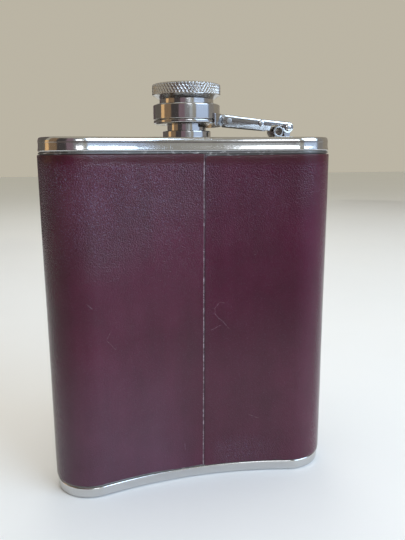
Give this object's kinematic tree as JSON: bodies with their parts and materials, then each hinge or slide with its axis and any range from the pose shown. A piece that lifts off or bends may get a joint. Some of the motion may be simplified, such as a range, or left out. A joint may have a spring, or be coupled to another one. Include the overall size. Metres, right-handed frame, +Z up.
{
  "type": "hip flask",
  "caption": "Curved steel hip flask wrapped in a leather sleeve, with a knurled screw cap held captive on a hinged arm.",
  "frame": {"origin": "centre of the flat bottom the flask stands on", "axes": "+Z up through the neck, +X to the side the cap's arm is hinged on, -Y out of the concave back"},
  "size_m": [0.0958, 0.0294, 0.133],
  "materials": {
    "steel": "satin",
    "polished_steel": "polished",
    "leather": "fine pebble grain, semi-matte",
    "liner": "matte"
  },
  "bodies": {
    "flask": {"body_shell": "steel", "top_plate": "polished_steel", "base_plate": "polished_steel", "leather_wrap": "leather", "neck_ring": "polished_steel", "neck_tube": "polished_steel", "hinge_bracket": "polished_steel", "stop_roll": "polished_steel"},
    "arm": {"arm_channel": "polished_steel", "arm_rivet": "polished_steel", "hinge_pin": "polished_steel", "collar_pin": "polished_steel"},
    "collar": {"collar_band": "polished_steel", "collar_lug": "polished_steel"},
    "cap": {"cap_head": "polished_steel", "cap_sleeve": "polished_steel", "cap_liner": "liner", "cap_flange": "polished_steel"}
  },
  "joints": [
    {"name": "arm_swing", "type": "hinge", "parent": "flask", "child": "arm", "pos_m": [0.0346, 0.0021, 0.11965], "axis": [0, 1, 0], "range_deg": [0, 175]},
    {"name": "collar_tilt", "type": "hinge", "parent": "arm", "child": "collar", "pos_m": [0.01385, 0.0021, 0.1217], "axis": [0, 1, 0], "range_deg": [0, 45]},
    {"name": "cap_spin", "type": "hinge", "parent": "collar", "child": "cap", "pos_m": [0, 0.0021, 0.125], "axis": [0, 0, 1], "continuous": true}
  ]
}
